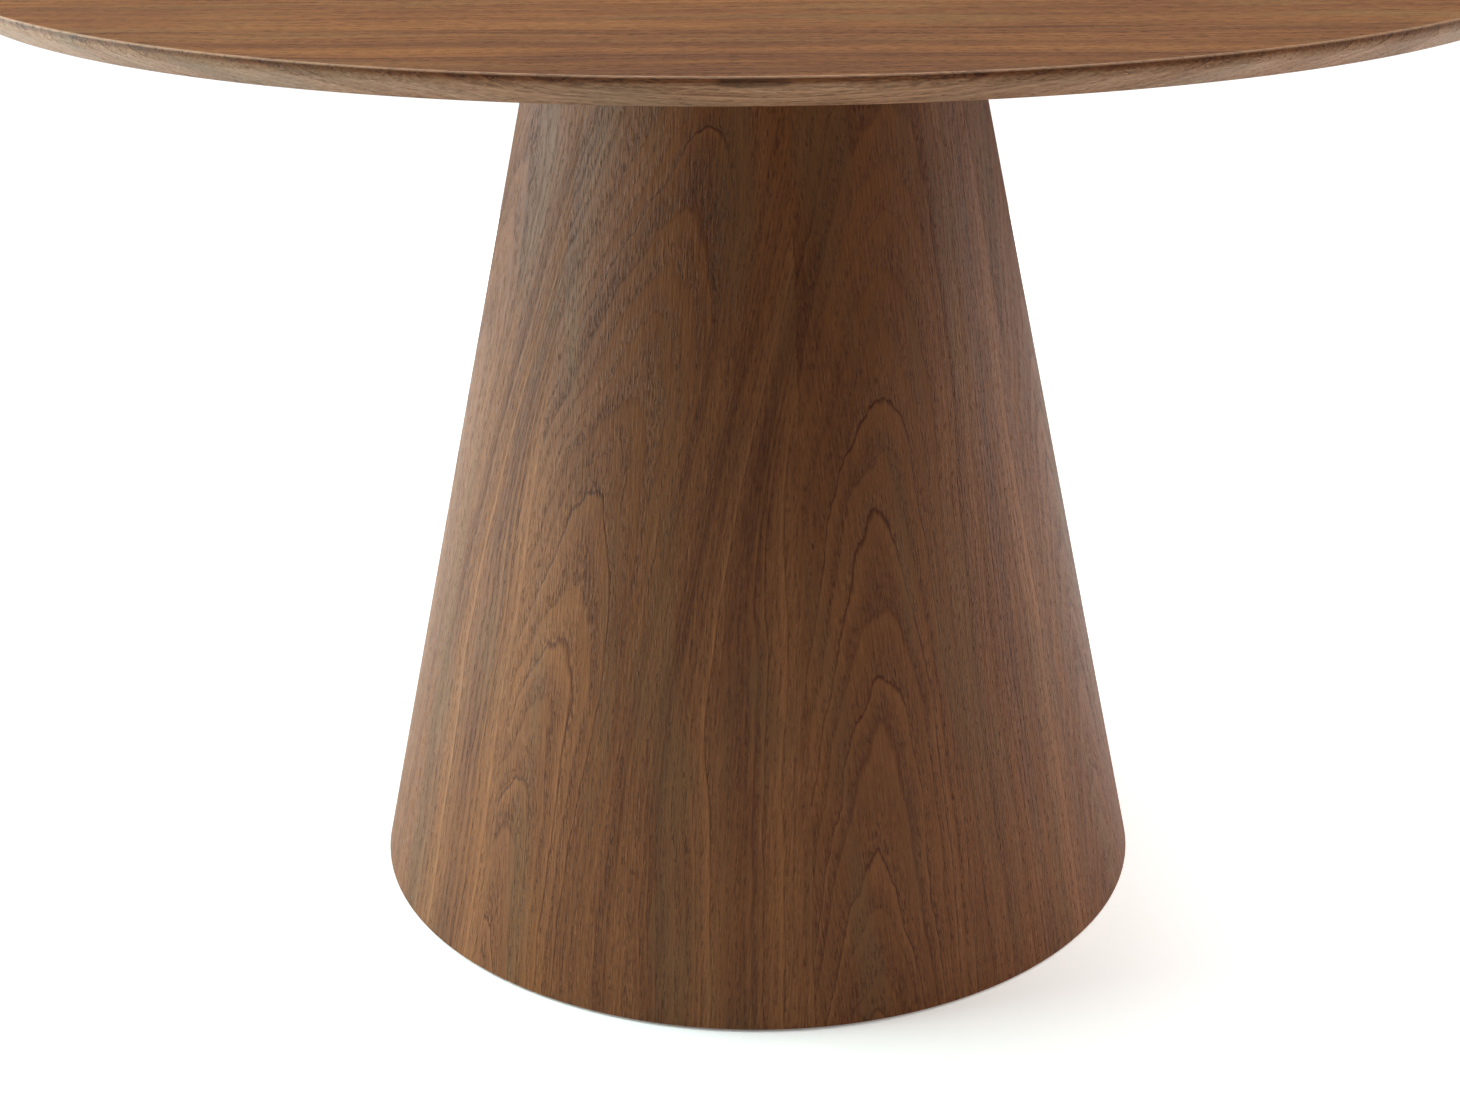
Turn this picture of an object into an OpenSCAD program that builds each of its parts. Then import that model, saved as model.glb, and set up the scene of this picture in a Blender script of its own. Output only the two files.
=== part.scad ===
// Tilt-top pedestal table: a round solid-wood top hinged on a veneered cone.
// Origin: centre of the foot, on the floor. +Z is up, the top tips towards -Y.

/* [Table top] */
// Height of the table's upper face above the floor
table_h = 760; // [750:5:770]
// Diameter of the top
top_d = 1170; // [1150:10:1190]
// Thickness of the boards
top_t = 18; // [18:1:20]
// Number of edge-glued boards across the top
board_count = 8; // [8]
// Small chamfer round the upper edge
arris = 1.2; // [0.8:0.2:1.6]
// Height from the upper face to where the upright edge meets the bevel
edge_face = 6.5; // [6:0.5:8]
// How far the bevel cuts in under the edge
undercut = 14; // [10:1:20]
// Radius that blends the upright edge into the bevel
edge_round = 5; // [4:0.5:6]

/* [Pedestal] */
// Diameter of the cone where it would meet the floor
foot_d = 640; // [630:5:650]
// Diameter of the cone where its line would meet the underside of the top
neck_d = 312; // [308:2:316]
// Thickness of the glides that show under the foot
glide_gap = 2; // [1.5:0.5:3]
// Thickness of the veneer
veneer_t = 0.8; // [0.6:0.1:1]
// Thickness of the bent shell panels
shell_t = 12; // [11:0.5:13]
// Number of veneer leaves round the cone
leaf_count = 7; // [7]
// Direction of the seam between the two leaves at the front, from -Y towards +X
leaf_seam = 8; // [0:1:20]
// Number of bent shell panels
panel_count = 4; // [4]
// Thickness of the cap disc on the cone
cap_t = 18; // [16:1:20]
// Height of the formers above the floor
former_z = [230, 450]; // [200:10:480]
// Thickness of each former
former_t = 18; // [15:1:20]

/* [Tilt block and pivot] */
// Space between the cap disc and the underside of the top
block_space = 57; // [56:1:58]
// Width of the tilt block
block_w = 150; // [148:1:152]
// Front face of the block, measured from the table's axis
block_front = 150; // [148:1:150]
// Rear face of the block, measured from the table's axis
block_rear = 150; // [148:1:152]
// Distance of the pivot in front of the table's axis
pivot_y = 138; // [136:1:140]
// Distance of the pivot below the underside of the top
pivot_drop = 35; // [34:1:36]
// Diameter of the pivot bolts' shoulders
pivot_d = 12; // [12]
// Radial clearance of the bushes on the shoulders
running_gap = 0.05; // [0.03:0.01:0.08]
// Thickness of the rest pads that stand proud of the block
pad_proud = 1; // [1]

/* [Bearers and battens] */
// Thickness of each bearer
bearer_w = 32; // [30:1:34]
// Length of a bearer in front of and behind the table's axis
bearer_reach = 420; // [400:10:420]
// Gap between the block and each bearer
side_gap = 2; // [2:0.5:3]
// Distance of the side battens from the table's axis
batten_x = 330; // [320:5:340]
// Half the length of a side batten
batten_reach = 320; // [300:5:320]
// Depth of a side batten
batten_h = 20; // [18:1:20]

/* [Slide bolt] */
// Diameter of the bolt rod
bolt_d = 12; // [12]
// Height of the rod's axis below the underside of the top
bolt_drop = 20; // [20]
// Travel of the bolt from open to locked
bolt_travel = 14; // [12:1:14]

/* [Hidden] */
$fn = 180;
top_r = top_d / 2;
under_z = table_h - top_t;
board_w = top_d / board_count;
cap_z = under_z - block_space;
shell_top_z = cap_z - cap_t;
block_top_z = under_z - pad_proud;
pivot_z = under_z - pivot_drop;
bearer_in = block_w / 2 + side_gap;
bearer_out = bearer_in + bearer_w;
bolt_z = under_z - bolt_drop;

// Pedestal details
base_t = 26;
base_top_z = glide_gap + base_t;
glide_d = 36;
glide_t = 5;
glide_ring_r = 272;
glide_count = 6;
ballast_d = 400;
ballast_t = 10;
ballast_top_z = base_top_z + ballast_t;
ballast_bolt_r = 150;
ballast_bolt_count = 4;
former_ring = 70;
plug_t = 25;
strip_angle = 14;
strip_t = 9;
tie_d = 12;
tie_hole_d = 13;
nut_t = 10;
nut_af = 18;
washer_t = 2.5;
washer_d = 30;
pocket_d = 36;
tie_foot_pocket = 13;
tie_top_pocket = 16;
tie_tail = 1.5;
block_screw_x = 50;
block_screw_y = [-92, 115];
block_screw_pocket = 22;
pad_d = 24;
pad_t = 3;
pad_x = 48;
pad_y = [-52, 70];

// Pivot details
pivot_grip = 20;
pivot_thread_d = 10;
pivot_thread = 30;
pivot_head_d = 20;
pivot_head_t = 6;
head_gap = 0.5;
bush_d = 16;
flange_d = 24;
flange_t = 1.5;
boss_r = 15;
sweep_gap = 0.8;

// Bearer outline, as depths below the underside
arm_h = 23;
heel_h = 45;
tip_h = 12;
heel_end = 130;
rail_y = 300;
rail_t = 22;
rail_h = 17;

// Stop buffer
buffer_y = -368;
buffer_d = 36;
buffer_h = 19.3;

// Slide bolt
strike_t = 2;
strike_w = 50;
strike_h = 26;
strike_hole_d = 13;
strike_screw_x = 18;
nose_y = block_rear + strike_t + 4;
rod_len = 80;
guide_w = 20;
guide_t = 12;
guide_y = [nose_y + 4, nose_y + 50];
plate_w = 48;
housing_screw_x = 17;
plate_t = 3;
knob_y = nose_y + 40;
knob_stem_d = 6;
knob_d = 18;
knob_h = 14;
knob_top_z = bolt_z - 18;

function board_y(i) = -top_r + i * board_w;
function cone_r(z) = (foot_d - (foot_d - neck_d) * z / under_z) / 2;
function shell_in_r(z) = cone_r(z) - veneer_t - shell_t;
function chord(y) = sqrt(top_r * top_r - y * y);

board_names = [for (i = [1:board_count]) str("top_board_", i)];
panel_names = [for (i = [1:panel_count]) str("shell_panel_", i)];
leaf_names = [for (i = [1:leaf_count]) str("veneer_leaf_", i)];

walnut = [0.40, 0.27, 0.18];
walnut_dark = [0.30, 0.20, 0.13];
birch = [0.80, 0.68, 0.50];
fibreboard = [0.62, 0.50, 0.38];
steel = [0.60, 0.62, 0.65];
ballast_paint = [0.20, 0.21, 0.22];
brass = [0.78, 0.62, 0.32];
black_rubber = [0.09, 0.09, 0.10];
felt_grey = [0.35, 0.34, 0.33];

// ---------------------------------------------------------------- shared shapes

// A band of the cone between two depths under its surface
module cone_band(z0, z1, outer, inner, start = 0, angle = 360) {
    rotate([0, 0, start])
        rotate_extrude(angle = angle)
            polygon([
                [cone_r(z0) - inner, z0],
                [cone_r(z0) - outer, z0],
                [cone_r(z1) - outer, z1],
                [cone_r(z1) - inner, z1]
            ]);
}

// A solid disc that fills the shell between two heights
module plug(z0, z1) {
    translate([0, 0, z0])
        cylinder(h = z1 - z0, r1 = shell_in_r(z0), r2 = shell_in_r(z1));
}

// A countersunk screw: its flat head face is at z = 0 and its point is at +Z
module screw_body(head_d, shank_d, length) {
    sink = (head_d - shank_d) / 2;
    rotate_extrude()
        polygon([
            [0, 0],
            [head_d / 2, 0],
            [shank_d / 2, sink],
            [shank_d / 2, length - shank_d],
            [0, length]
        ]);
}

module slotted_screw(head_d, shank_d, length) {
    slot_w = head_d / 7;
    difference() {
        screw_body(head_d, shank_d, length);
        cube([head_d * 1.2, slot_w, head_d / 4], center = true);
    }
}

module hex_nut(across_flats, bore_d, height) {
    difference() {
        cylinder(h = height, d = across_flats / cos(30), $fn = 6);
        translate([0, 0, -1])
            cylinder(h = height + 2, d = bore_d);
    }
}

module washer(outer_d, bore_d, height) {
    difference() {
        cylinder(h = height, d = outer_d);
        translate([0, 0, -1])
            cylinder(h = height + 2, d = bore_d);
    }
}

// Copies a shape to the four corners of a rectangle
module at_corners(xs, ys) {
    for (x = xs)
        for (y = ys)
            translate([x, y, 0])
                children();
}

// Copies a shape round the axis
module around(count, radius, start = 0) {
    for (i = [0:count - 1])
        rotate([0, 0, start + i * 360 / count])
            translate([radius, 0, 0])
                children();
}

// ---------------------------------------------------------------- pedestal

module at_glides() {
    around(glide_count, glide_ring_r, 30)
        children();
}

module glide_screw_body() {
    translate([0, 0, 1])
        screw_body(8, 4, 22);
}

module glides() {
    color(felt_grey)
        at_glides()
            difference() {
                cylinder(h = glide_t, d = glide_d);
                translate([0, 0, -1])
                    cylinder(h = 2, d = 9);
                glide_screw_body();
            }
}

module glide_screws() {
    color(steel)
        at_glides()
            translate([0, 0, 1])
                slotted_screw(8, 4, 22);
}

module at_ballast_bolts() {
    around(ballast_bolt_count, ballast_bolt_r, 45)
        children();
}

module base_disc() {
    color(fibreboard)
        difference() {
            plug(glide_gap, base_top_z);
            at_glides() {
                translate([0, 0, glide_gap - 1])
                    cylinder(h = glide_t - glide_gap + 1, d = glide_d);
                glide_screw_body();
            }
            at_ballast_bolts()
                translate([0, 0, glide_gap + 6])
                    cylinder(h = base_t, d = 8);
            cylinder(h = glide_gap + tie_foot_pocket, d = pocket_d);
            cylinder(h = base_top_z + 1, d = tie_hole_d);
        }
}

module ballast_plate() {
    color(ballast_paint)
        translate([0, 0, base_top_z])
            difference() {
                cylinder(h = ballast_t, d = ballast_d);
                translate([0, 0, -1])
                    cylinder(h = ballast_t + 2, d = 14);
                at_ballast_bolts()
                    translate([0, 0, -1])
                        cylinder(h = ballast_t + 2, d = 9);
            }
}

module ballast_bolts() {
    color(steel)
        at_ballast_bolts() {
            translate([0, 0, ballast_top_z])
                cylinder(h = 1.6, d = 18);
            translate([0, 0, ballast_top_z + 1.6])
                cylinder(h = 5.5, d = 13 / cos(30), $fn = 6);
            translate([0, 0, glide_gap + 6])
                cylinder(h = ballast_top_z - glide_gap - 4, d = 8);
        }
}

// Panel seams lie at 45 degrees to the axes
module shell_panel(i) {
    span = 360 / panel_count;
    color(birch)
        cone_band(glide_gap, shell_top_z, veneer_t, veneer_t + shell_t, (i - 0.5) * span, span);
}

// Strips glued behind each panel seam, cut between the discs
module seam_strips() {
    gaps = [
        [base_top_z, former_z[0]],
        [former_z[0] + former_t, former_z[1]],
        [former_z[1] + former_t, shell_top_z - plug_t]
    ];
    depth = veneer_t + shell_t;
    color(birch)
        for (i = [0:panel_count - 1])
            for (gap = gaps)
                cone_band(gap[0], gap[1], depth, depth + strip_t,
                    (i + 0.5) * 360 / panel_count - strip_angle / 2, strip_angle);
}

module former(z) {
    color(fibreboard)
        difference() {
            plug(z, z + former_t);
            translate([0, 0, z - 1])
                cylinder(h = former_t + 2, r = shell_in_r(z) - former_ring);
        }
}

module lower_former() {
    former(former_z[0]);
}

module upper_former() {
    former(former_z[1]);
}

module top_former() {
    color(fibreboard)
        difference() {
            plug(shell_top_z - plug_t, shell_top_z);
            translate([0, 0, shell_top_z - plug_t - 1])
                cylinder(h = plug_t + 2, d = tie_hole_d);
            block_screw_bodies();
        }
}

module cap_disc() {
    chamfer = 2;
    color(walnut)
        difference() {
            rotate_extrude()
                polygon([
                    [0, shell_top_z],
                    [cone_r(shell_top_z), shell_top_z],
                    [cone_r(cap_z - chamfer), cap_z - chamfer],
                    [cone_r(cap_z) - chamfer, cap_z],
                    [0, cap_z]
                ]);
            translate([0, 0, shell_top_z - 1])
                cylinder(h = cap_t + 2, d = tie_hole_d);
            block_screw_bodies();
        }
}

// Leaf 1 ends at the front seam and leaf 2 starts there
module veneer_leaf(i) {
    span = 360 / leaf_count;
    color(i % 2 == 0 ? walnut : walnut_dark)
        cone_band(glide_gap, shell_top_z, 0, veneer_t, leaf_seam - 90 + (i - 2) * span, span);
}

module tie_rod() {
    color(steel)
        translate([0, 0, glide_gap + tie_tail])
            cylinder(h = block_top_z - 3 - glide_gap - tie_tail, d = tie_d);
}

module tie_nuts() {
    color(steel)
        for (z = [glide_gap + tie_foot_pocket - washer_t - nut_t, block_top_z - tie_top_pocket + washer_t])
            translate([0, 0, z])
                hex_nut(nut_af, tie_d, nut_t);
}

module tie_washers() {
    color(steel)
        for (z = [glide_gap + tie_foot_pocket - washer_t, block_top_z - tie_top_pocket])
            translate([0, 0, z])
                washer(washer_d, tie_d, washer_t);
}

// ---------------------------------------------------------------- tilt block

module block_screw_bodies() {
    at_corners([-block_screw_x, block_screw_x], block_screw_y)
        translate([0, 0, block_top_z - block_screw_pocket])
            mirror([0, 0, 1])
                screw_body(12, 6, 74);
}

module block_screws() {
    color(steel)
        at_corners([-block_screw_x, block_screw_x], block_screw_y)
            translate([0, 0, block_top_z - block_screw_pocket])
                mirror([0, 0, 1])
                    slotted_screw(12, 6, 74);
}

module pad_shapes() {
    at_corners([-pad_x, pad_x], pad_y)
        translate([0, 0, under_z - pad_t])
            cylinder(h = pad_t, d = pad_d);
}

module rest_pads() {
    color(black_rubber)
        pad_shapes();
}

// The block's front top edge is rounded about the pivot, so the top can swing past it
module block_blank() {
    translate([-block_w / 2, -pivot_y, cap_z])
        cube([block_w, block_rear + pivot_y, block_top_z - cap_z]);
    intersection() {
        translate([-block_w / 2, -block_front, cap_z])
            cube([block_w, block_front - pivot_y, block_top_z - cap_z]);
        translate([-block_w / 2, -pivot_y, pivot_z])
            rotate([0, 90, 0])
                cylinder(h = block_w, r = pivot_drop - sweep_gap);
    }
}

module pivot_bolt_shape(side) {
    in_x = block_w / 2 - pivot_grip;
    head_x = bearer_out + head_gap;
    translate([0, -pivot_y, pivot_z])
        rotate([0, 90 * side, 0]) {
            translate([0, 0, in_x - pivot_thread])
                cylinder(h = pivot_thread, d = pivot_thread_d);
            translate([0, 0, in_x])
                cylinder(h = head_x - in_x, d = pivot_d);
        }
}

module pivot_bolt(side) {
    head_x = bearer_out + head_gap;
    color(steel)
        difference() {
            union() {
                pivot_bolt_shape(side);
                translate([0, -pivot_y, pivot_z])
                    rotate([0, 90 * side, 0])
                        translate([0, 0, head_x])
                            cylinder(h = pivot_head_t, d = pivot_head_d);
            }
            translate([0, -pivot_y, pivot_z])
                rotate([0, 90 * side, 0])
                    translate([0, 0, head_x + 2])
                        cylinder(h = pivot_head_t, d = 8 / cos(30), $fn = 6);
        }
}

module strike_screw_at(x) {
    translate([x, block_rear + strike_t, bolt_z])
        rotate([90, 0, 0])
            children();
}

module tilt_block() {
    color(walnut)
        difference() {
            block_blank();
            translate([0, 0, cap_z - 1])
                cylinder(h = block_space + 2, d = tie_hole_d);
            translate([0, 0, block_top_z - tie_top_pocket])
                cylinder(h = tie_top_pocket + 1, d = pocket_d);
            at_corners([-block_screw_x, block_screw_x], block_screw_y)
                translate([0, 0, block_top_z - block_screw_pocket])
                    cylinder(h = block_screw_pocket + 1, d = 13);
            block_screw_bodies();
            pad_shapes();
            for (side = [-1, 1])
                pivot_bolt_shape(side);
            translate([0, block_rear - bolt_travel - 4, bolt_z])
                rotate([-90, 0, 0])
                    cylinder(h = bolt_travel + 5, d = strike_hole_d + 1);
            for (x = [-strike_screw_x, strike_screw_x])
                strike_screw_at(x)
                    screw_body(7, 3.5, 20);
        }
}

module strike_plate() {
    color(brass)
        difference() {
            translate([-strike_w / 2, block_rear, bolt_z - strike_h / 2])
                cube([strike_w, strike_t, strike_h]);
            translate([0, block_rear - 1, bolt_z])
                rotate([-90, 0, 0])
                    cylinder(h = strike_t + 2, d = strike_hole_d);
            for (x = [-strike_screw_x, strike_screw_x])
                strike_screw_at(x)
                    screw_body(7, 3.5, 20);
        }
}

module strike_screws() {
    color(brass)
        for (x = [-strike_screw_x, strike_screw_x])
            strike_screw_at(x)
                slotted_screw(7, 3.5, 20);
}

// ---------------------------------------------------------------- table top

// Half section of the top: upright edge, blend, then the undercut bevel
module top_profile() {
    fall = top_t - edge_face;
    slant = sqrt(undercut * undercut + fall * fall);
    bevel = [undercut / slant, fall / slant];
    blend_c = [top_r - edge_round, table_h - edge_face + edge_round * (1 - bevel[1]) / bevel[0]];
    turn = acos(bevel[1]);
    steps = 8;
    blend = [
        for (i = [0:steps])
            blend_c + edge_round * [cos(-turn + turn * i / steps), sin(-turn + turn * i / steps)]
    ];
    polygon(concat(
        [[0, under_z], [top_r - undercut, under_z]],
        blend,
        [[top_r, table_h - arris], [top_r - arris, table_h], [0, table_h]]
    ));
}

module top_blank() {
    rotate_extrude()
        top_profile();
}

// A loose tongue in the joint between board i and board i + 1, stopped short of the edge
module tongue(i) {
    tongue_w = 20;
    tongue_t = 5;
    y = board_y(i);
    reach = chord(y) - 60;
    translate([-reach, y - tongue_w / 2, under_z + (top_t - tongue_t) / 2])
        cube([2 * reach, tongue_w, tongue_t]);
}

module loose_tongues() {
    color(birch)
        for (i = [1:board_count - 1])
            tongue(i);
}

module top_board(i) {
    color(i % 2 == 0 ? walnut : walnut_dark)
        difference() {
            intersection() {
                top_blank();
                translate([-top_r - 1, board_y(i - 1), under_z - 1])
                    cube([top_d + 2, board_w, top_t + 2]);
            }
            if (i > 1)
                tongue(i - 1);
            if (i < board_count)
                tongue(i);
            bearer_screw_bodies();
            batten_screw_bodies();
            housing_screw_bodies();
            buffer_screw_body();
        }
}

// ---------------------------------------------------------------- bearers and battens

bearer_screw_y = [-385, -240, -75, 75, 240, 385];

// Depth of a bearer below the underside at distance y
function bearer_depth(y) =
    y < -pivot_y ? arm_h - (arm_h - tip_h) * (-y - pivot_y) / (bearer_reach - pivot_y) :
    y < heel_end ? heel_h :
    heel_h - (heel_h - tip_h) * (y - heel_end) / (bearer_reach - heel_end);

// Depth at which a bearer screw's head sits, in a pocket where the bearer is deep
function screw_seat(y) = min(bearer_depth(y) - 1, 16);

module bearer_screw_bodies() {
    for (side = [-1, 1])
        for (y = bearer_screw_y)
            translate([side * (bearer_in + bearer_w / 2), y, under_z - screw_seat(y)])
                screw_body(9, 4.5, screw_seat(y) + 13);
}

module bearer_screws() {
    color(steel)
        for (side = [-1, 1])
            for (y = bearer_screw_y)
                translate([side * (bearer_in + bearer_w / 2), y, under_z - screw_seat(y)])
                    slotted_screw(9, 4.5, screw_seat(y) + 13);
}

module bearer(side) {
    color(walnut)
        difference() {
            union() {
                translate([side > 0 ? bearer_in : -bearer_out, 0, under_z])
                    rotate([90, 0, 90])
                        linear_extrude(height = bearer_w)
                            polygon([
                                [-bearer_reach, 0],
                                [-bearer_reach, -tip_h],
                                [-pivot_y, -arm_h],
                                [-pivot_y, -heel_h],
                                [heel_end, -heel_h],
                                [bearer_reach, -tip_h],
                                [bearer_reach, 0]
                            ]);
                translate([side > 0 ? bearer_in : -bearer_out, -pivot_y, pivot_z])
                    rotate([0, 90, 0])
                        cylinder(h = bearer_w, r = boss_r);
            }
            translate([0, -pivot_y, pivot_z])
                rotate([0, 90 * side, 0])
                    translate([0, 0, bearer_in - 1])
                        cylinder(h = bearer_w + 2, d = bush_d);
            bearer_screw_bodies();
            for (y = bearer_screw_y)
                translate([side * (bearer_in + bearer_w / 2), y, under_z - heel_h - 1])
                    cylinder(h = heel_h + 1 - screw_seat(y), d = 10);
        }
}

module pivot_bush(side) {
    color(brass)
        translate([0, -pivot_y, pivot_z])
            rotate([0, 90 * side, 0])
                difference() {
                    union() {
                        translate([0, 0, bearer_in])
                            cylinder(h = bearer_w, d = bush_d);
                        translate([0, 0, bearer_in - flange_t])
                            cylinder(h = flange_t, d = flange_d);
                    }
                    translate([0, 0, bearer_in - flange_t - 1])
                        cylinder(h = bearer_w + flange_t + 2, r = pivot_d / 2 + running_gap);
                }
}

batten_screw_y = [-270, -90, 90, 270];
rail_screw_x = [-45, 45];
batten_w = 40;

module at_batten_screws() {
    for (x = [-batten_x, batten_x])
        for (y = batten_screw_y)
            translate([x, y, under_z - 15])
                children();
    for (x = rail_screw_x)
        translate([x, rail_y + rail_t / 2, under_z - 15])
            children();
}

module batten_screw_bodies() {
    at_batten_screws()
        screw_body(9, 4.5, 28);
}

module batten_screws() {
    color(steel)
        at_batten_screws()
            slotted_screw(9, 4.5, 28);
}

module batten_screw_pockets() {
    at_batten_screws()
        translate([0, 0, -6])
            cylinder(h = 6, d = 10);
}

module side_batten(side) {
    taper = 90;
    tip = 12;
    color(walnut)
        difference() {
            translate([side * batten_x - batten_w / 2, 0, under_z])
                rotate([90, 0, 90])
                    linear_extrude(height = batten_w)
                        polygon([
                            [-batten_reach, 0],
                            [-batten_reach, -tip],
                            [-batten_reach + taper, -batten_h],
                            [batten_reach - taper, -batten_h],
                            [batten_reach, -tip],
                            [batten_reach, 0]
                        ]);
            batten_screw_bodies();
            batten_screw_pockets();
        }
}

module cross_rail() {
    color(walnut)
        difference() {
            translate([-bearer_in, rail_y, under_z - rail_h])
                cube([2 * bearer_in, rail_t, rail_h]);
            batten_screw_bodies();
            batten_screw_pockets();
        }
}

module buffer_screw_body() {
    translate([0, buffer_y, under_z - 9])
        screw_body(9, 4.5, 21);
}

module stop_buffer() {
    color(black_rubber)
        translate([0, buffer_y, 0])
            difference() {
                translate([0, 0, under_z])
                    mirror([0, 0, 1])
                        cylinder(h = buffer_h, d1 = buffer_d, d2 = buffer_d - 6);
                translate([0, -buffer_y, 0])
                    buffer_screw_body();
                translate([0, 0, under_z - buffer_h - 1])
                    cylinder(h = buffer_h - 8, d = 10);
            }
}

module buffer_screw() {
    color(steel)
        translate([0, buffer_y, under_z - 9])
            slotted_screw(9, 4.5, 21);
}

// ---------------------------------------------------------------- slide bolt

plate_len = guide_y[1] + guide_t - guide_y[0] + 4;

module at_housing_screws() {
    at_corners([-housing_screw_x, housing_screw_x], [guide_y[0] + 8, guide_y[0] + plate_len - 12])
        translate([0, 0, under_z - plate_t])
            children();
}

module housing_screw_bodies() {
    at_housing_screws()
        screw_body(7, 3.5, 16);
}

module housing_screws() {
    color(brass)
        at_housing_screws()
            slotted_screw(7, 3.5, 16);
}

module bolt_housing() {
    color(brass)
        difference() {
            union() {
                translate([-plate_w / 2, guide_y[0] - 2, under_z - plate_t])
                    cube([plate_w, plate_len, plate_t]);
                for (y = guide_y) {
                    translate([-guide_w / 2, y, bolt_z])
                        cube([guide_w, guide_t, bolt_drop - plate_t]);
                    translate([0, y, bolt_z])
                        rotate([-90, 0, 0])
                            cylinder(h = guide_t, d = guide_w);
                }
            }
            translate([0, guide_y[0] - 5, bolt_z])
                rotate([-90, 0, 0])
                    cylinder(h = plate_len + 10, r = bolt_d / 2 + running_gap);
            housing_screw_bodies();
        }
}

module knob_hole() {
    translate([0, knob_y, knob_top_z])
        cylinder(h = bolt_z - knob_top_z, d = knob_stem_d);
}

module bolt_rod() {
    nose = 2;
    color(steel)
        difference() {
            translate([0, nose_y, bolt_z])
                rotate([-90, 0, 0])
                    rotate_extrude()
                        polygon([
                            [0, 0],
                            [bolt_d / 2 - nose, 0],
                            [bolt_d / 2, nose],
                            [bolt_d / 2, rod_len - 1],
                            [bolt_d / 2 - 1, rod_len],
                            [0, rod_len]
                        ]);
            knob_hole();
        }
}

module bolt_knob() {
    color(brass)
        translate([0, knob_y, 0])
            rotate_extrude()
                polygon([
                    [0, knob_top_z - knob_h],
                    [knob_d / 2 - 2, knob_top_z - knob_h],
                    [knob_d / 2, knob_top_z - knob_h + 2],
                    [knob_d / 2, knob_top_z - 6],
                    [knob_d / 2 - 1, knob_top_z - 4.5],
                    [knob_stem_d / 2 + 1, knob_top_z - 3],
                    [knob_stem_d / 2, knob_top_z],
                    [knob_stem_d / 2, bolt_z],
                    [0, bolt_z]
                ]);
}

// ---------------------------------------------------------------- assembly

glides();
glide_screws();
base_disc();
ballast_plate();
ballast_bolts();
for (i = [1:panel_count])
    shell_panel(i);
seam_strips();
lower_former();
upper_former();
top_former();
cap_disc();
for (i = [1:leaf_count])
    veneer_leaf(i);
tie_rod();
tie_nuts();
tie_washers();
tilt_block();
block_screws();
rest_pads();
strike_plate();
strike_screws();
pivot_bolt(-1);  // pivot_bolt_left
pivot_bolt(1);  // pivot_bolt_right
for (i = [1:board_count])
    top_board(i);
loose_tongues();
bearer(-1);  // bearer_left
bearer(1);  // bearer_right
bearer_screws();
pivot_bush(-1);  // pivot_bush_left
pivot_bush(1);  // pivot_bush_right
side_batten(-1);  // side_batten_left
side_batten(1);  // side_batten_right
cross_rail();
batten_screws();
stop_buffer();
buffer_screw();
bolt_housing();
housing_screws();
bolt_rod();
bolt_knob();
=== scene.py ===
"""Looks for the tilt-top table: walnut boards, a veneered cone and the hardware under the top."""
import math

import bmesh
import bpy
from mathutils import Matrix, Vector


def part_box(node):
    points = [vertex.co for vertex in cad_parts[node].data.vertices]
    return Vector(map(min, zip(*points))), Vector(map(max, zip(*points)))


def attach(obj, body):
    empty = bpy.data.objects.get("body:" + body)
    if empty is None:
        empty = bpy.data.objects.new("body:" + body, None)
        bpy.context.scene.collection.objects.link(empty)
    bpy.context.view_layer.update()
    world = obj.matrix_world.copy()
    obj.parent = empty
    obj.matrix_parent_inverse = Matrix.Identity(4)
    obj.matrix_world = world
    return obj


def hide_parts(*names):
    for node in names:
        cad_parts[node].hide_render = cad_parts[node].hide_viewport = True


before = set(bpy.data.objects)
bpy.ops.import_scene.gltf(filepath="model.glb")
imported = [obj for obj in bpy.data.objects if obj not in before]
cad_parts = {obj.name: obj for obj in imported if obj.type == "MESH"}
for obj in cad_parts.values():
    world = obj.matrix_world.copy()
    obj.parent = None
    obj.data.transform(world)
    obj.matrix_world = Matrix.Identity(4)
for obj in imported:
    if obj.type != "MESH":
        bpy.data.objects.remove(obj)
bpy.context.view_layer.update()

MM = 0.001
TURN = 2 * math.pi


# ---------------------------------------------------------------- measures taken from the frame

def numbered(stem):
    """The CAD nodes whose names are the stem and a number, in order."""
    found = [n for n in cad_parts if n.startswith(stem) and n[len(stem):].isdigit()]
    return sorted(found, key=lambda n: int(n[len(stem):]))


def points(node):
    return [v.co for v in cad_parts[node].data.vertices]


def off_axis(p):
    """Distance of a point from the table's axis."""
    return math.hypot(p.x, p.y)


def reach(node):
    """Greatest distance of a node from the table's axis."""
    return max(off_axis(p) for p in points(node))


def angle_from_front(p):
    """Direction of a point round the axis, 0 at -Y and positive towards +X."""
    return math.atan2(p.x, -p.y)


BOARDS = numbered("top_board_")
LEAVES = numbered("veneer_leaf_")
PANELS = numbered("shell_panel_")

UNDER_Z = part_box(BOARDS[0])[0].z
TOP_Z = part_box(BOARDS[0])[1].z
TOP_R = max(reach(n) for n in BOARDS)
BOARD_W = 2 * TOP_R / len(BOARDS)
FOOT_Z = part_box(LEAVES[0])[0].z
NECK_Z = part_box(LEAVES[0])[1].z
CAP_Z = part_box("cap_disc")[1].z
FOOT_R = max(reach(n) for n in LEAVES)
NECK_R = reach("cap_disc")
LEAF_SPAN = TURN / len(LEAVES)
CONE_SLOPE = (FOOT_R - NECK_R) / (NECK_Z - FOOT_Z)
SEAM = min(angle_from_front(p) for p in points(LEAVES[1]))
VENEER = FOOT_R - max(reach(n) for n in PANELS)


def cone_r(z):
    return FOOT_R - CONE_SLOPE * (z - FOOT_Z)


# ---------------------------------------------------------------- node arithmetic

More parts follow.
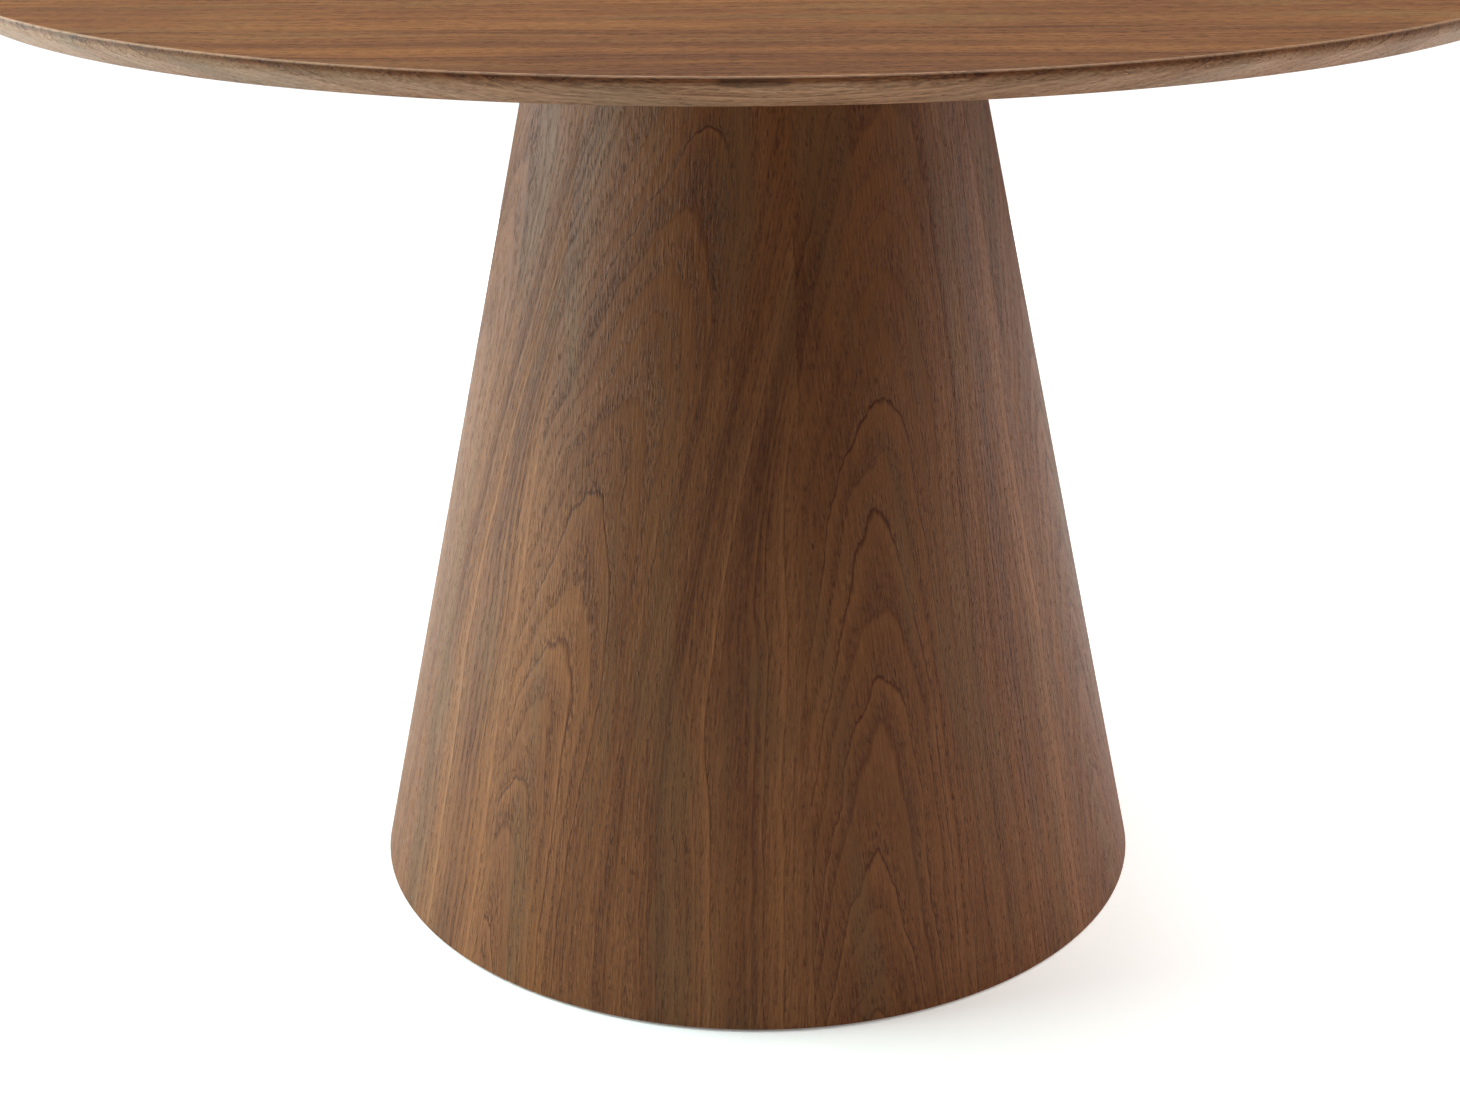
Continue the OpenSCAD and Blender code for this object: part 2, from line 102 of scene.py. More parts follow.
class Wire:
    """A node's output that can be added, multiplied and so on."""

    def __init__(self, graph, socket):
        self.graph = graph
        self.socket = socket

    def __add__(self, other):
        return self.graph.math("ADD", self, other)

    def __sub__(self, other):
        return self.graph.math("SUBTRACT", self, other)

    def __mul__(self, other):
        return self.graph.math("MULTIPLY", self, other)

    def __truediv__(self, other):
        return self.graph.math("DIVIDE", self, other)

    def __radd__(self, other):
        return self.graph.math("ADD", other, self)

    def __rsub__(self, other):
        return self.graph.math("SUBTRACT", other, self)


class Graph:
    """One material, with short names for the nodes that it is built from."""

    def __init__(self, name, roughness=0.5, metallic=0.0, **constants):
        self.material = bpy.data.materials.new(name)
        self.material.use_nodes = True
        self.tree = self.material.node_tree
        self.shader = self.tree.nodes["Principled BSDF"]
        self.set("Roughness", roughness)
        self.set("Metallic", metallic)
        for key, value in constants.items():
            self.set(key.replace("_", " "), value)

    def set(self, name, value):
        self.feed(self.shader.inputs[name], value)

    def add(self, kind, **settings):
        node = self.tree.nodes.new(kind)
        for key, value in settings.items():
            setattr(node, key, value)
        return node

    def feed(self, socket, value):
        if isinstance(value, Wire):
            self.tree.links.new(value.socket, socket)
        elif value is not None:
            socket.default_value = value

    def math(self, operation, a, b=None):
        node = self.add("ShaderNodeMath", operation=operation)
        self.feed(node.inputs[0], a)
        self.feed(node.inputs[1], b)
        return Wire(self, node.outputs[0])

    def distance(self, x, y):
        return self.math("SQRT", x * x + y * y)

    def step(self, value, low, high, to_low=0.0, to_high=1.0):
        """A smooth step from to_low to to_high, while value goes from low to high."""
        node = self.add("ShaderNodeMapRange", interpolation_type="SMOOTHSTEP")
        for name, v in (("Value", value), ("From Min", low), ("From Max", high),
                        ("To Min", to_low), ("To Max", to_high)):
            self.feed(node.inputs[name], v)
        return Wire(self, node.outputs["Result"])

    def place(self):
        """The object's own x, y and z, in metres."""
        coordinates = self.add("ShaderNodeTexCoord")
        split = self.add("ShaderNodeSeparateXYZ")
        self.tree.links.new(coordinates.outputs["Object"], split.inputs[0])
        return [Wire(self, split.outputs[k]) for k in range(3)]

    def vector(self, x, y, z):
        node = self.add("ShaderNodeCombineXYZ")
        for socket, value in zip(node.inputs, (x, y, z)):
            self.feed(socket, value)
        return Wire(self, node.outputs[0])

    def scaled(self, often, stretch=(1.0, 1.0, 1.0)):
        """The place, for noise that repeats about so often in a metre, more or less so by axis."""
        return self.vector(*(p * often * s for p, s in zip(self.place(), stretch)))

    def noise(self, vector, detail=2.0, roughness=0.5, distortion=0.0):
        node = self.add("ShaderNodeTexNoise", noise_dimensions="3D")
        self.feed(node.inputs["Vector"], vector)
        self.feed(node.inputs["Scale"], 1.0)
        self.feed(node.inputs["Detail"], detail)
        self.feed(node.inputs["Roughness"], roughness)
        self.feed(node.inputs["Distortion"], distortion)
        return node

    def grey(self, vector, **settings):
        return Wire(self, self.noise(vector, **settings).outputs["Fac"])

    def two(self, vector, **settings):
        """Two independent noise values."""
        split = self.add("ShaderNodeSeparateColor")
        self.tree.links.new(self.noise(vector, **settings).outputs["Color"], split.inputs[0])
        return Wire(self, split.outputs[0]), Wire(self, split.outputs[1])

    def line_noise(self, value, detail):
        node = self.add("ShaderNodeTexNoise", noise_dimensions="1D")
        self.feed(node.inputs["W"], value)
        self.feed(node.inputs["Scale"], 1.0)
        self.feed(node.inputs["Detail"], detail)
        return Wire(self, node.outputs["Fac"])

    def random(self, value):
        node = self.add("ShaderNodeTexWhiteNoise", noise_dimensions="1D")
        self.feed(node.inputs["W"], value)
        return Wire(self, node.outputs["Value"])

    def ramp(self, value, stops):
        node = self.add("ShaderNodeValToRGB")
        self.feed(node.inputs[0], value)
        elements = node.color_ramp.elements
        while len(elements) < len(stops):
            elements.new(0.5)
        for element, (position, colour) in zip(elements, stops):
            element.position = position
            element.color = (*colour, 1.0)
        return Wire(self, node.outputs["Color"])

    def mix(self, amount, a, b, blend="MIX"):
        node = self.add("ShaderNodeMix", data_type="RGBA", blend_type=blend)
        self.feed(node.inputs[0], amount)
        for socket, value in ((node.inputs[6], a), (node.inputs[7], b)):
            self.feed(socket, value if isinstance(value, Wire) else (*value, 1.0))
        return Wire(self, node.outputs[2])

    def shade(self, colour, amount):
        """Colour times a grey amount."""
        grey = self.add("ShaderNodeCombineColor")
        for socket in grey.inputs[:3]:
            self.feed(socket, amount)
        return self.mix(1.0, colour, Wire(self, grey.outputs[0]), "MULTIPLY")

    def bump(self, height, distance):
        node = self.add("ShaderNodeBump")
        self.feed(node.inputs["Strength"], 1.0)
        self.feed(node.inputs["Distance"], distance)
        self.feed(node.inputs["Height"], height)
        self.set("Normal", Wire(self, node.outputs[0]))


# ---------------------------------------------------------------- walnut

WALNUT_TONES = [
    (0.00, (0.054, 0.0160, 0.0061)),
    (0.30, (0.113, 0.0370, 0.0126)),
    (0.55, (0.186, 0.0680, 0.0230)),
    (0.80, (0.260, 0.1045, 0.0388)),
    (1.00, (0.350, 0.1580, 0.0690)),
]
WALNUT_ORANGE = (0.230, 0.0860, 0.0240)
WALNUT_OLIVE = (0.150, 0.0740, 0.0300)
# The colour of a painted highlight along the arris of the top, where its edge catches the light.
ARRIS_HIGHLIGHT_COLOUR = (0.480, 0.3000, 0.1900)
FACE_TINT = (1.05, 1.12, 0.94)
# Painted light and sheen on the bevel: it is made paler and greyer, standing in for light bounced up from
# the white floor and the floor's reflection in its sheen.
BEVEL_PAINTED_SHEEN_TINT = (1.26, 1.70, 2.55)

# The year rings: their width, how uneven it is and how often that changes in a metre. A power
# below 2 gives them pointed tips. Sway, jag and tooth shift them by up to half of these sizes.
RING = 6.8 * MM
RING_UNEVEN, RING_CHANGES = 1.6, 60.0
RING_POWER = 1.6
SWAY_ACROSS, SWAY_DEPTH = 22 * MM, 26 * MM
JAG_SIZE, TOOTH_SIZE = 3.4 * MM, 1.1 * MM

# How often each mark repeats in a metre, along the grain and across it.
SWAY = (5.0, 9.0)
JAG = (26.0, 95.0)
TOOTH = (70.0, 420.0)
CLOUD = (3.0, 13.0)
FIBRE = (22.0, 850.0)
DASH = (130.0, 780.0)
SPECK = (140.0, 1050.0)
HUE = (5.0, 30.0)
STRIPES = 31.0

# Where in a year, from 0 to 1, the wood goes from coarse to fine and the line that ends it comes up,
# and which years, by a random number, have such a line.
FINE_WOOD = (0.05, 0.80)
LINE_WOOD = (0.83, 0.985)
LINE_YEARS = (0.10, 0.85)

# How far each mark moves the wood along WALNUT_TONES. Dashes count for more in coarse wood.
MIDDLE = 0.50
CLOUD_SHARE, STRIPE_SHARE, FIBRE_SHARE = 0.40, 0.52, 0.66
DASH_SHARE, DASH_COARSE = 0.34, 0.46
YEAR_SHARE, LINE_SHARE = 0.24, 0.50
ORANGE_MOST, OLIVE_MOST = 0.32, 0.50

# Which specks are pores, and how strong they are in fine wood and how much more so in coarse.
PORE_SPECKS = (0.54, 0.64)
PORE_FINE, PORE_COARSE = 0.30, 0.70

# Gloss and height. The heights and depths are parts of the bump.
WOOD_ROUGH, DASH_ROUGH, PORE_ROUGH = 0.42, 0.14, 0.18
GRAIN_BUMP = 0.9 * MM
DASH_HIGH, DASH_HIGH_COARSE, FIBRE_HIGH = 0.35, 0.75, 0.30
PORE_DEEP, LINE_DEEP = 0.60, 0.25


def along_grain(g, spot, often, seed):
    """Noise coordinates at a spot, for marks that are long with the grain and narrow across it."""
    along, across, depth = spot
    return g.vector(along * often[0], across * often[1], depth * often[1] + seed)


def year_rings(g, spot, heart, seed):
    """The rings round the log's heart. Gives the distance from the heart, how far through its year
    a spot is, how marked that year is, the line that ends it and how coarse the wood is."""
    sway_b, sway_c = g.two(along_grain(g, spot, SWAY, seed), detail=2.0)
    b = heart[0] + (sway_b - 0.5) * SWAY_ACROSS
    c = heart[1] + (sway_c - 0.5) * SWAY_DEPTH
    jag = g.grey(along_grain(g, spot, JAG, seed), detail=2.0)
    tooth = g.grey(along_grain(g, spot, TOOTH, seed), detail=3.0, roughness=0.6)
    b_part, c_part = (g.math("POWER", g.math("ABSOLUTE", side), RING_POWER) for side in (b, c))
    radius = g.math("POWER", b_part + c_part, 1 / RING_POWER)
    radius = radius + (jag - 0.5) * JAG_SIZE + (tooth - 0.5) * TOOTH_SIZE

    uneven = g.line_noise(radius * RING_CHANGES + seed, detail=2.0)
    rings = radius / RING + uneven * RING_UNEVEN
    phase = g.math("FRACT", rings)
    year = g.step(g.random(g.math("FLOOR", rings) + seed), *LINE_YEARS)
    line = g.step(phase, *LINE_WOOD) * year
    coarse = g.step(phase, *FINE_WOOD, 1.0, 0.0)
    return radius, phase, year, line, coarse


def walnut_grain(g, spot, heart, seed, tone=0.0, patchy=1.0, pores=0.36):
    """Walnut as sawn from a log, with its colour, gloss and bump. Spot is the place along the grain,
    across it and in depth. Heart is how far the log's heart lies away in across and depth. A face
    that runs along the rings shows them as cathedrals, and one that cuts through them shows straight
    lines. Pores are dense where a ring starts and fade towards its end."""
    radius, phase, year, line, coarse = year_rings(g, spot, heart, seed)
    stripe = g.line_noise(radius * STRIPES + seed * 1.7, detail=2.0)
    cloud = g.grey(along_grain(g, spot, CLOUD, seed), detail=3.0)
    fibre = g.grey(along_grain(g, spot, FIBRE, seed), detail=2.0, roughness=0.6)
    dash = g.grey(along_grain(g, spot, DASH, seed * -1.0), detail=2.0, roughness=0.7)
    speck = g.grey(along_grain(g, spot, SPECK, seed), detail=1.0)
    pore = g.step(speck, *PORE_SPECKS) * (coarse * PORE_COARSE + PORE_FINE)

    level = (cloud - 0.5) * (CLOUD_SHARE * patchy) + (stripe - 0.5) * (STRIPE_SHARE * patchy)
    level = level + (fibre - 0.5) * FIBRE_SHARE
    level = level + (dash - 0.5) * (coarse * DASH_COARSE + DASH_SHARE)
    level = level + (phase - 0.5) * year * YEAR_SHARE
    level = level - line * LINE_SHARE + (MIDDLE + tone)
    colour = g.ramp(level, WALNUT_TONES)
    hue_a, hue_b = g.two(along_grain(g, spot, HUE, seed * -1.0), detail=2.0)
    colour = g.mix(g.step(hue_a, 0.50, 0.72) * ORANGE_MOST, colour, WALNUT_ORANGE)
    colour = g.mix(g.step(hue_b, 0.48, 0.70) * OLIVE_MOST, colour, WALNUT_OLIVE)
    colour = g.shade(colour, 1.0 - pore * pores)

    g.set("Base Color", colour)
    g.set("Roughness", dash * DASH_ROUGH + pore * PORE_ROUGH + WOOD_ROUGH)
    height = dash * (coarse * DASH_HIGH_COARSE + DASH_HIGH) + fibre * FIBRE_HIGH
    g.bump(height - pore * PORE_DEEP - line * LINE_DEEP, GRAIN_BUMP)
    return colour


# The boards: how much darker than walnut's middle tone, how much they differ from each other, how
# much paler the bevel is painted, as painted light bounced up from the floor, how strong pores are
# on the face and how much less so on the bevel.
BOARD_DARKER, BOARD_VARIES, BEVEL_PAINTED_BOUNCE = 0.12, 0.20, 0.36
BOARD_PORES, BEVEL_PORES_LESS = 0.50, 0.28
BOARD_PATCHY = 1.25
JOINT_DARK = 0.45
# How strongly the painted highlight is mixed in along the arris.
ARRIS_PAINTED_HIGHLIGHT = 0.45


def boards_material():
    """Boards side by side across Y, each sawn from its own place in the log, with its grain along X.
    Face, edge and bevel cut through the same wood. The face is tinted a little green. The bevel is
    painted paler and greyer, as painted light and sheen from the floor below, and a painted highlight
    runs along the arris."""
    g = Graph("walnut_boards", Coat_Weight=0.02, Coat_Roughness=0.34, Specular_IOR_Level=0.12)
    x, y, z = g.place()
    index = g.math("FLOOR", (y + TOP_R) / BOARD_W)
    own = g.random(index * 3.7 + 1.3)
    other = g.random(index * 5.1 + 2.9)
    along = x + other * 3.0
    across = y + TOP_R - (index + 0.5) * BOARD_W
    depth = z - TOP_Z
    # The heart lies 30 to 130 mm towards +Y of a board's middle and 85 to 135 mm below its face.
    heart = (across + along * -0.018 + own * 0.10 - 0.130,
             depth + along * -0.030 + other * 0.050 + 0.085)
    radius = g.distance(x, y)
    arris = g.step(radius + z, TOP_R + TOP_Z - 1.4 * MM, TOP_R + TOP_Z - 0.8 * MM)
    bevel = g.step(radius - z, TOP_R - TOP_Z + 2 * MM, TOP_R - TOP_Z + 5 * MM)
    face = g.step(z, TOP_Z - 1.0 * MM, TOP_Z - 0.3 * MM)
    joint = g.step(g.math("ABSOLUTE", across), BOARD_W / 2 - 0.45 * MM, BOARD_W / 2 - 0.15 * MM)

    # The bevel's tone is raised here as painted light bounced up from the floor.
    colour = walnut_grain(g, (along, across, depth), heart, seed=index * 7.3 + 2.0,
                          tone=bevel * BEVEL_PAINTED_BOUNCE - BOARD_DARKER + (other - 0.5) * BOARD_VARIES,
                          patchy=BOARD_PATCHY, pores=BOARD_PORES - bevel * BEVEL_PORES_LESS)
    colour = g.shade(colour, 1.0 - joint * JOINT_DARK)
    colour = g.mix(face, colour, FACE_TINT, "MULTIPLY")
    # Painted light and sheen on the bevel: paler and greyer.
    colour = g.mix(bevel, colour, BEVEL_PAINTED_SHEEN_TINT, "MULTIPLY")
    # A painted highlight along the arris.
    g.set("Base Color", g.mix(arris * ARRIS_PAINTED_HIGHLIGHT, colour, ARRIS_HIGHLIGHT_COLOUR))
    return g.material


# The heart of the log behind a veneer leaf: how far it starts to the left of the leaf's middle and
# how much it leans to the right, each with what the drift from leaf to leaf adds, how deep it starts,
# and how much deeper it gets. Beyond so far to its right the grain doesn't lean.
HEART_LEFT, HEART_LEFT_DRIFT = 98 * MM, 52 * MM
LEAN, LEAN_DRIFT = 0.135, 0.135
HEART_DEEP, HEART_DEEP_DRIFT, DEEPER = 40 * MM, 2.0 * MM, 0.140
LEAN_ENDS = (30 * MM, 140 * MM)
SLICE = 1.6 * MM


def cone_material():
    """Crown-cut leaves laid slip-matched round the cone: each repeats the last, drifting a little.
    The heart leans across each leaf as it climbs, and the grain well to the right of it keeps straight."""
    g = Graph("walnut_veneer", Coat_Weight=0.02, Coat_Roughness=0.34, Specular_IOR_Level=0.15)
    x, y, z = g.place()
    turn = (g.math("ARCTAN2", x, y * -1.0) - SEAM) / LEAF_SPAN
    index = g.math("FLOORED_MODULO", g.math("FLOOR", turn), float(len(LEAVES)))
    drift = index / (len(LEAVES) - 1.0)
    across = (g.math("FRACT", turn) - 0.5) * g.distance(x, y) * LEAF_SPAN
    along = z * math.hypot(1.0, CONE_SLOPE)
    lean = along * (drift * LEAN_DRIFT + LEAN)
    off = across + (drift * HEART_LEFT_DRIFT + HEART_LEFT) - lean
    off = off + lean * g.step(off, *LEAN_ENDS)
    under = along * DEEPER + (index * HEART_DEEP_DRIFT + HEART_DEEP)
    walnut_grain(g, (along, across, index * SLICE), heart=(off, under), seed=4.0)
    return g.material


def timber_material(name, grain, seed, tone=0.0):
    """A plain sawn piece with its grain along X or Y."""
    g = Graph(name, Coat_Weight=0.05, Coat_Roughness=0.40, Specular_IOR_Level=0.25)
    x, y, z = g.place()
    along, across = (x, y) if grain == "X" else (y, x)
    heart = (across + along * -0.015 - 0.31, z - 0.60)
    walnut_grain(g, (along, across, z), heart, seed, tone)
    return g.material


# ---------------------------------------------------------------- other materials

PLY_PALE = (0.56, 0.38, 0.21)
PLY_DARK = (0.36, 0.22, 0.115)
PLY_T = 1.5 * MM
FIBREBOARD_TONES = [(0.30, (0.20, 0.125, 0.070)), (0.55, (0.34, 0.235, 0.145)), (0.75, (0.45, 0.33, 0.22))]
PAINT_TONES = [(0.3, (0.012, 0.012, 0.013)), (0.7, (0.022, 0.022, 0.024))]
RUBBER_TONES = [(0.3, (0.012, 0.012, 0.012)), (0.75, (0.030, 0.029, 0.028))]
FELT_TONES = [(0.3, (0.030, 0.027, 0.024)), (0.7, (0.085, 0.078, 0.070))]


def ply_material():
    """Bent birch plywood: its plies follow the cone, so they show as bands on a cut edge."""
    g = Graph("birch_ply", 0.62)
    x, y, z = g.place()
    layer = (g.distance(x, y) + z * CONE_SLOPE) / PLY_T
    dark = g.step(g.math("FRACT", layer * 0.5), 0.46, 0.54)
    grain = g.grey(g.vector(x * 260.0, y * 260.0, z * 18.0), detail=4.0)
    g.set("Base Color", g.shade(g.mix(dark, PLY_PALE, PLY_DARK), 0.72 + grain * 0.5))
    g.bump(grain - dark * 0.5, 0.2 * MM)
    return g.material


def fibreboard_material():
    g = Graph("fibreboard", 0.78)
    chip = g.grey(g.scaled(420.0), detail=4.0, roughness=0.7)
    cloud = g.grey(g.scaled(14.0), detail=2.0)
    g.set("Base Color", g.ramp(chip * 0.75 + cloud * 0.25, FIBREBOARD_TONES))
    g.bump(chip, 0.25 * MM)
    return g.material


def metal_material(name, colour, roughness, dull, stretch=(1.0, 1.0, 1.0)):
    """Metal with fine tool marks and a duller bloom in patches. Stretch is how the marks run."""
    g = Graph(name, metallic=1.0)
    marks = g.grey(g.scaled(900.0, stretch), detail=3.0)
    bloom = g.grey(g.scaled(60.0), detail=4.0, roughness=0.6)
    patch = g.step(bloom, 0.42, 0.70)
    g.set("Base Color", g.mix(patch * 0.7, colour, dull))
    g.set("Roughness", roughness + marks * 0.16 + patch * 0.14)
    g.bump(marks, 0.03 * MM)
    return g.material


def paint_material():
    g = Graph("ballast_paint", 0.55)
    orange_peel = g.grey(g.scaled(240.0), detail=3.0)
    g.set("Base Color", g.ramp(orange_peel, PAINT_TONES))
    g.set("Roughness", 0.45 + orange_peel * 0.2)
    g.bump(orange_peel, 0.15 * MM)
    return g.material


def rubber_material():
    g = Graph("black_rubber", 0.7)
    stipple = g.grey(g.scaled(1500.0), detail=2.0)
    bloom = g.grey(g.scaled(90.0), detail=3.0)
    g.set("Base Color", g.ramp(bloom, RUBBER_TONES))
    g.set("Roughness", 0.62 + stipple * 0.2)
    g.bump(stipple, 0.08 * MM)
    return g.material


def felt_material():
    g = Graph("pressed_felt", 0.95, Sheen_Weight=0.4)
    hair = g.grey(g.scaled(1300.0), detail=4.0, roughness=0.7, distortion=1.5)
    g.set("Base Color", g.ramp(hair, FELT_TONES))
    g.bump(hair, 0.4 * MM)
    return g.material


# ---------------------------------------------------------------- mesh helpers

SMOOTH_BELOW = math.radians(38)
FLAT_BELOW = math.radians(0.6)
SHARP_ABOVE = math.radians(40)
ROUND_STEPS = 6


def skin(bm, rows):
    """Joins closed rows of corners, each to the next, and closes both ends."""
    count = len(rows[0])
    for near, far in zip(rows, rows[1:]):
        for k in range(count):
            n = (k + 1) % count
            bm.faces.new((near[k], near[n], far[n], far[k]))
    bm.faces.new(reversed(rows[0]))
    bm.faces.new(rows[-1])


def turned_solid(outline, steps):
    """A solid of revolution from an open outline of (radius, height) points, closed by flat ends."""
    bm = bmesh.new()
    turns = [TURN * k / steps for k in range(steps)]
    skin(bm, [[bm.verts.new((r * math.cos(a), r * math.sin(a), z)) for a in turns] for r, z in outline])
    return bm


def swept_sector(outline, start, sweep, steps):
    """A closed outline of (radius, height) points swept part of the way round the axis."""
    bm = bmesh.new()
    turns = [start + sweep * k / steps for k in range(steps + 1)]
    skin(bm, [[bm.verts.new((r * math.sin(a), -r * math.cos(a), z)) for r, z in outline] for a in turns])
    bmesh.ops.recalc_face_normals(bm, faces=bm.faces)
    return bm


def quarter_round(r, z, size):
    """The (radius, height) points of a quarter circle, from an upright face in to a level one."""
    turns = [math.pi / 2 * k / ROUND_STEPS for k in range(ROUND_STEPS + 1)]
    return [(r - size * (1 - math.cos(t)), z + size * math.sin(t)) for t in turns]


def piece(name, bm, slot, material, body, *nodes):
    """Makes a finished piece of a bmesh: it rides a body and stands for CAD nodes."""
    mesh = bpy.data.meshes.new(name)
    bm.to_mesh(mesh)
    bm.free()
    mesh.materials.append(material)
    mesh.polygons.foreach_set("use_smooth", [True] * len(mesh.polygons))
    mesh.set_sharp_from_angle(angle=SMOOTH_BELOW)
    obj = bpy.data.objects.new(name, mesh)
    bpy.context.scene.collection.objects.link(obj)
    weighted = obj.modifiers.new("even_normals", "WEIGHTED_NORMAL")
    weighted.keep_sharp = True
    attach(obj, body)
    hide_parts(*nodes)


def softened(node, radius, segments=2):
    """A copy of a CAD node's mesh with its facets joined and its sharp edges rounded."""
    bm = bmesh.new()
    bm.from_mesh(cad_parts[node].data)
    bmesh.ops.remove_doubles(bm, verts=bm.verts, dist=0.001 * MM)
    bmesh.ops.dissolve_limit(bm, angle_limit=FLAT_BELOW, verts=bm.verts, edges=bm.edges)
    sharp = [e for e in bm.edges if e.is_manifold and e.calc_face_angle() > SHARP_ABOVE]
    bmesh.ops.bevel(bm, geom=sharp, offset=radius, segments=segments, profile=0.5,
                    affect="EDGES", clamp_overlap=True)
    return bm


def dress(node, material):
    """Gives a CAD node a material and leaves its shape alone."""
    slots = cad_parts[node].data.materials
    slots.clear()
    slots.append(material)


# ---------------------------------------------------------------- table top

RIM_W = 20 * MM
UNDER_EASE = 0.4 * MM
TOP_STEPS = 480


def edge_outline():
    """The top's edge from the underside up: bevel, blend, upright face and a rounded arris.
    It passes through the CAD's corners near the rim, wherever they aren't crowded."""
    rim = [p for n in BOARDS for p in points(n) if off_axis(p) > TOP_R - RIM_W]
    foot_r = min(off_axis(p) for p in rim if p.z < UNDER_Z + 0.01 * MM)
    corners = sorted({(p.z, off_axis(p)) for p in rim if p.z > UNDER_Z + 1 * MM})
    arris_z = max(z for z, r in corners if r > TOP_R - 0.05 * MM)
    outline = [(foot_r - UNDER_EASE, UNDER_Z), (foot_r + UNDER_EASE * 0.7, UNDER_Z + UNDER_EASE * 0.6)]
    for z, r in corners:
        last_r, last_z = outline[-1]
        if z < arris_z - 0.3 * MM and z - last_z > 0.45 * MM:
            outline.append((max(r, last_r), z))
    return outline + quarter_round(TOP_R, arris_z, TOP_Z - arris_z)


def make_boards(material):
    """Each board is the whole top cut down to its own strip between two joints."""
    outline = edge_outline()
    for k, node in enumerate(BOARDS):
        bm = turned_solid(outline, TOP_STEPS)
        for side, edge in ((1, k + 1), (-1, k)):
            if 0 < edge < len(BOARDS):
                cut = bmesh.ops.bisect_plane(
                    bm, geom=bm.verts[:] + bm.edges[:] + bm.faces[:],
                    plane_co=(0, -TOP_R + edge * BOARD_W, 0), plane_no=(0, side, 0), clear_outer=True)
                edges = [e for e in cut["geom_cut"] if isinstance(e, bmesh.types.BMEdge)]
                bmesh.ops.edgenet_fill(bm, edges=edges)
        bmesh.ops.recalc_face_normals(bm, faces=bm.faces)
        piece("board_%d" % (k + 1), bm, "walnut_boards", material, "table_top", node)


# ---------------------------------------------------------------- pedestal

FOOT_EASE = 0.35 * MM
LEAF_STEPS = 56
CAP_ROUND = 2.5 * MM
CAP_STEPS = 240


def make_cone(material):
    """The veneer leaves, with the sharp outer edge at the foot taken off."""
    outline = [
        (cone_r(FOOT_Z) - VENEER, FOOT_Z),
        (cone_r(FOOT_Z) - FOOT_EASE, FOOT_Z),
        (cone_r(FOOT_Z + FOOT_EASE), FOOT_Z + FOOT_EASE),
        (cone_r(NECK_Z), NECK_Z),
        (cone_r(NECK_Z) - VENEER, NECK_Z),
    ]
    for k, node in enumerate(LEAVES):
        bm = swept_sector(outline, SEAM + (k - 1) * LEAF_SPAN, LEAF_SPAN, LEAF_STEPS)
        piece("leaf_%d" % (k + 1), bm, "walnut_veneer", material, "pedestal", node)


def make_cap(material):
    shoulder_z = CAP_Z - CAP_ROUND
    outline = [(NECK_R, NECK_Z)] + quarter_round(cone_r(shoulder_z), shoulder_z, CAP_ROUND)
    bm = turned_solid(outline, CAP_STEPS)
    piece("cap", bm, "walnut_timber", material, "pedestal", "cap_disc")


# ---------------------------------------------------------------- slide bolt knob

KNURL_TEETH = 36
KNURL_DEPTH = 0.35 * MM
STEM_R = 3 * MM


def make_knob(material):
    """The bolt's knob, with a straight knurl round its grip."""
    low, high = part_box("bolt_knob")
    centre = (low + high) / 2
    grip_r = (high.x - low.x) / 2
    steps = KNURL_TEETH * 4
    # Each row is a radius, a height and how deep the knurl is cut there, from 0 to 1.
    outline = [
        (grip_r - 2.2 * MM, low.z, 0.0),
        (grip_r - 0.7 * MM, low.z + 0.6 * MM, 0.0),
        (grip_r - 0.3 * MM, low.z + 1.6 * MM, 0.0),
        (grip_r, low.z + 2.2 * MM, 1.0),
        (grip_r, low.z + 8.0 * MM, 1.0),
        (grip_r - 0.4 * MM, low.z + 8.6 * MM, 0.0),
        (grip_r - 1.2 * MM, low.z + 9.6 * MM, 0.0),
        (STEM_R + 1.5 * MM, low.z + 10.6 * MM, 0.0),
        (STEM_R, low.z + 12.0 * MM, 0.0),
        (STEM_R, high.z, 0.0),
    ]
    bm = bmesh.new()
    rows = []
    for r, z, cut in outline:
        row = []
        for k in range(steps):
            a = TURN * k / steps
            groove = KNURL_DEPTH * cut * (1 - abs(math.sin(a * KNURL_TEETH / 2)))
            row.append(bm.verts.new((centre.x + (r - groove) * math.cos(a),
                                     centre.y + (r - groove) * math.sin(a), z)))
        rows.append(row)
    skin(bm, rows)
    piece("knurled_knob", bm, "brass", material, "slide_bolt", "bolt_knob")


# ---------------------------------------------------------------- stage

WHITE = (1.0, 1.0, 1.0)
KEY_LIGHT = (0.80, 1.0, 0.98)
SIDE_LIGHT = (1.0, 0.89, 0.76)

# Each light's name, place, aim, size, watts and colour.
SOFTBOXES = [
    ("top_light", (0.0, 0.5, 3.4), (0.0, 0.1, 0.5), (4.2, 4.0), 142.0, WHITE),
    ("front_floor", (0.0, -1.8, 3.0), (0.0, -1.0, 0.0), (2.8, 1.4), 34.0, WHITE),
    ("key_left", (-2.8, 0.25, 0.72), (0.0, 0.0, 0.30), (1.9, 1.2), 80.0, KEY_LIGHT),
    ("key_left_high", (-2.2, 0.2, 2.0), (0.0, 0.0, 0.20), (1.6, 0.9), 73.0, KEY_LIGHT),
    ("right_low", (2.5, 0.30, 0.25), (0.0, 0.0, 0.15), (1.0, 0.45), 12.0, SIDE_LIGHT),
    ("right_high", (2.3, 0.50, 1.9), (0.0, 0.0, 0.10), (1.4, 0.9), 22.0, SIDE_LIGHT),
    ("back_left", (-2.5, 1.9, 0.75), (0.0, 0.0, 0.45), (1.6, 1.2), 20.0, WHITE),
    ("back_right", (2.5, 1.5, 0.22), (0.0, 0.0, 0.10), (1.4, 0.35), 7.0, WHITE),
]

